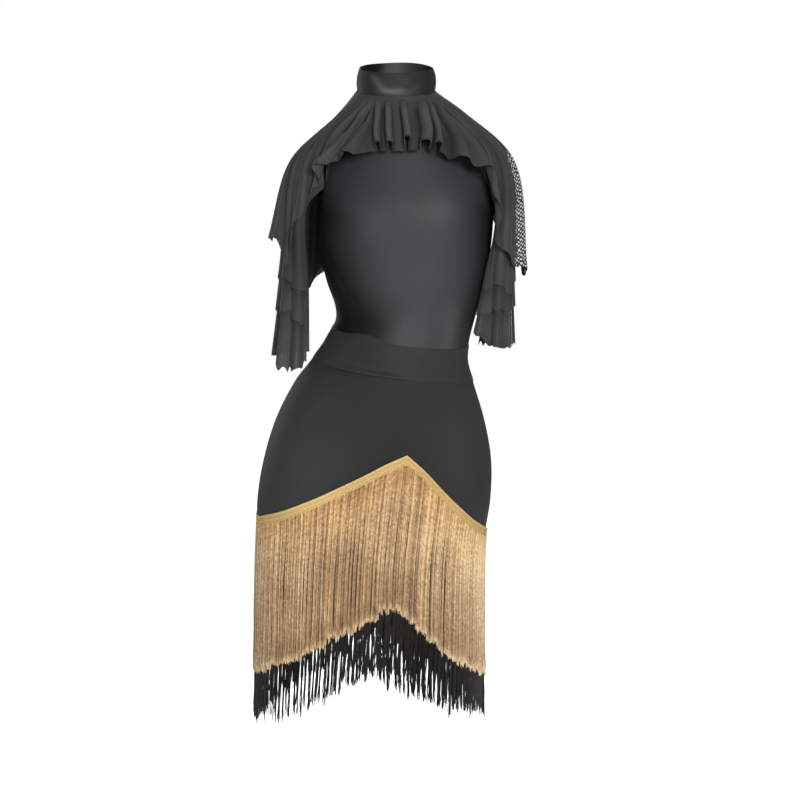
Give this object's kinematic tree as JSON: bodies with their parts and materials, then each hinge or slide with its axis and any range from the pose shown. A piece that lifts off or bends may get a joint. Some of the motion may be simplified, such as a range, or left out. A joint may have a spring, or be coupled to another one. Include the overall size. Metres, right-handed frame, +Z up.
{
  "type": "latin dance costume",
  "caption": "Worn-shape black dance dress with a stand collar, a fluted net cape over tiered sleeves, and a fitted skirt with pointed rows of long fringe.",
  "frame": {"origin": "middle of the neck seam, where the dress is held as it hangs on its wearer's shoulders", "axes": "+Z up, the dress's front faces -Y, +X towards the wearer's left"},
  "size_m": [0.4079, 0.2684, 0.9971],
  "materials": {
    "collar_knit": "matte stretch knit",
    "bodice_knit": "smooth stretch knit with a soft sheen",
    "skirt_knit": "smooth stretch knit",
    "net": "fine stretch net, slightly see-through",
    "gold_fringe": "shiny thread fringe",
    "black_fringe": "satin thread fringe"
  },
  "bodies": {
    "root": {"collar": "collar_knit", "bodice_front": "bodice_knit", "bodice_back": "bodice_knit", "cape": "net", "right_sleeve_upper": "net", "right_sleeve_middle": "net", "right_sleeve_lower": "net", "left_sleeve_upper": "net", "left_sleeve_middle": "net", "left_sleeve_lower": "net", "waistband_front_right": "bodice_knit", "waistband_front_left": "bodice_knit", "waistband_back": "bodice_knit", "skirt_front_right": "skirt_knit", "skirt_front_left": "skirt_knit", "skirt_back": "skirt_knit", "gold_fringe": "gold_fringe", "black_fringe": "black_fringe"}
  },
  "joints": []
}
